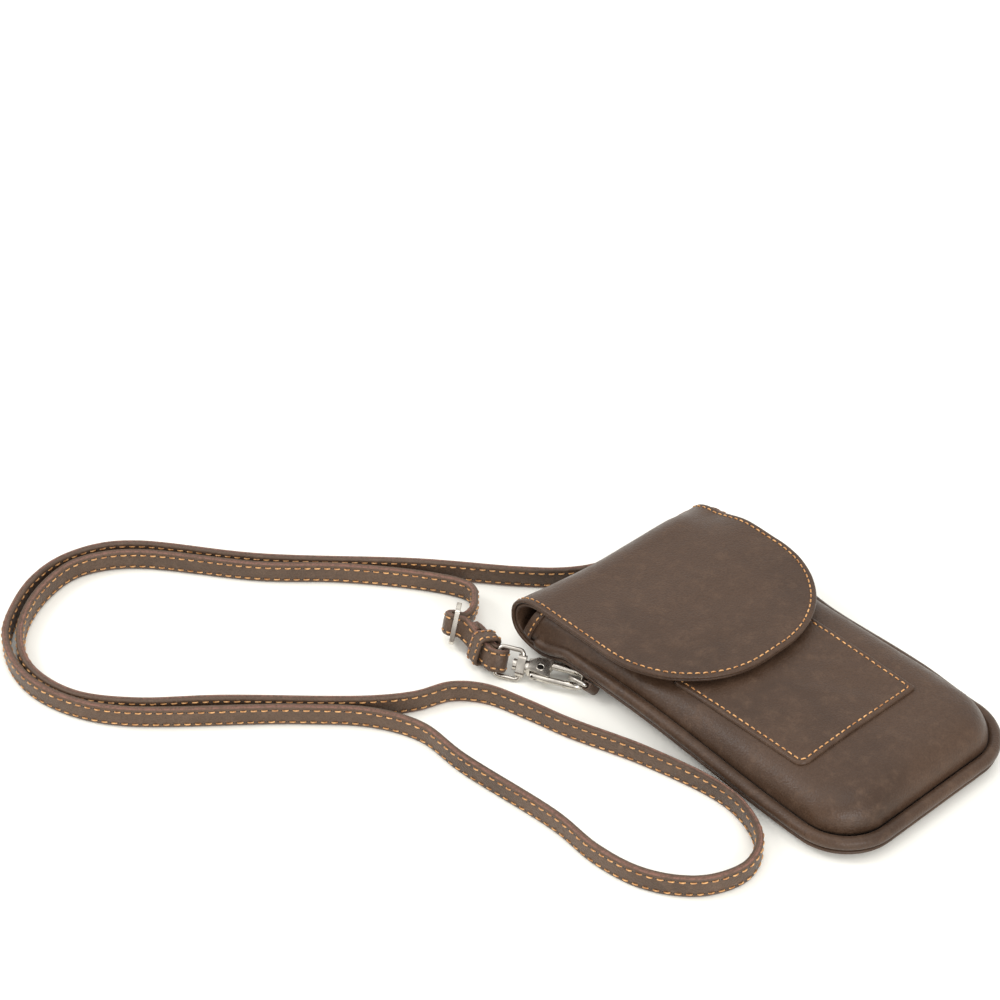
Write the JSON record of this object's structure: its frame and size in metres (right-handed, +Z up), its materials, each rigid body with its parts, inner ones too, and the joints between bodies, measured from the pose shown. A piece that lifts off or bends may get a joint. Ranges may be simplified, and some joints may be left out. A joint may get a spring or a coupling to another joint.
{
  "type": "phone pouch",
  "caption": "Flat padded leather phone pouch with a curved magnetic flap, a front card pocket, and a thin shoulder strap on swivel snap hooks.",
  "frame": {"origin": "middle of the pouch's underside, on the surface that it lies on", "axes": "+Y along the pouch towards the flap's fold, +X across it, +Z up through the front"},
  "size_m": [0.2813, 0.3429, 0.0293],
  "materials": {
    "leather": "satin",
    "lining": "matte",
    "hardware": "satin",
    "thread": "satin",
    "magnet": "satin",
    "spring": "satin"
  },
  "bodies": {
    "pouch": {"back_panel": "leather", "back_lining": "lining", "front_panel": "leather", "front_lining": "lining", "side_roll": "leather", "mouth_binding": "leather", "card_pocket": "leather", "pouch_magnet": "magnet", "flap_fold": "leather", "fold_lining": "lining", "near_ring_tab": "leather", "far_ring_tab": "leather", "strap": "leather", "strap_slider": "hardware", "near_swivel_eye": "hardware", "far_swivel_eye": "hardware"},
    "flap": {"flap_outer": "leather", "flap_lining": "lining", "flap_magnet": "magnet"},
    "near_ring": {"near_d_ring": "hardware"},
    "far_ring": {"far_d_ring": "hardware"},
    "near_clasp": {"near_hook": "hardware", "near_gate_pin": "hardware", "near_gate_spring": "spring"},
    "far_clasp": {"far_hook": "hardware", "far_gate_pin": "hardware", "far_gate_spring": "spring"},
    "near_gate_body": {"near_gate": "hardware"},
    "far_gate_body": {"far_gate": "hardware"},
    "keeper": {"strap_keeper": "leather"}
  },
  "joints": [
    {"name": "flap_hinge", "type": "hinge", "parent": "pouch", "child": "flap", "pos_m": [0, 0.09, 0.0145], "axis": [-1, 0, 0], "range_deg": [0, 140], "deforming": ["flap_fold", "fold_lining"]},
    {"name": "near_swivel", "type": "hinge", "parent": "pouch", "child": "near_clasp", "pos_m": [-0.06162, 0.07281, 0.00589], "axis": [0.5239, -0.8482, -0.0785], "range_deg": [-6, 10]},
    {"name": "far_swivel", "type": "hinge", "parent": "pouch", "child": "far_clasp", "pos_m": [0.05721, 0.07194, 0.00574], "axis": [-0.3767, -0.923, -0.0785], "range_deg": [-6, 10]},
    {"name": "near_gate_hinge", "type": "hinge", "parent": "near_clasp", "child": "near_gate_body", "pos_m": [-0.05856, 0.06744, 0.00538], "axis": [-0.0479, -0.1213, 0.9915], "range_deg": [0, 22], "stiffness_Nm_per_rad": 0.02, "springref_deg": -11.46},
    {"name": "far_gate_hinge", "type": "hinge", "parent": "far_clasp", "child": "far_gate_body", "pos_m": [0.05508, 0.06614, 0.00523], "axis": [-0.0673, 0.1117, -0.9915], "range_deg": [0, 22], "stiffness_Nm_per_rad": 0.02, "springref_deg": -11.46},
    {"name": "near_ring_swing", "type": "hinge", "parent": "pouch", "child": "near_ring", "pos_m": [-0.0508, 0.047, 0.005], "axis": [-0.644, -0.0836, 0.7604], "range_deg": [-2, 1.5]},
    {"name": "far_ring_swing", "type": "hinge", "parent": "pouch", "child": "far_ring", "pos_m": [0.0508, 0.0447, 0.00485], "axis": [-0.649, -0.0238, -0.7604], "range_deg": [-2, 1.5]},
    {"name": "keeper_slide", "type": "slide", "parent": "pouch", "child": "keeper", "axis": [0.2377, 0.971, -0.0269], "range_m": [0, 0.0015]}
  ]
}
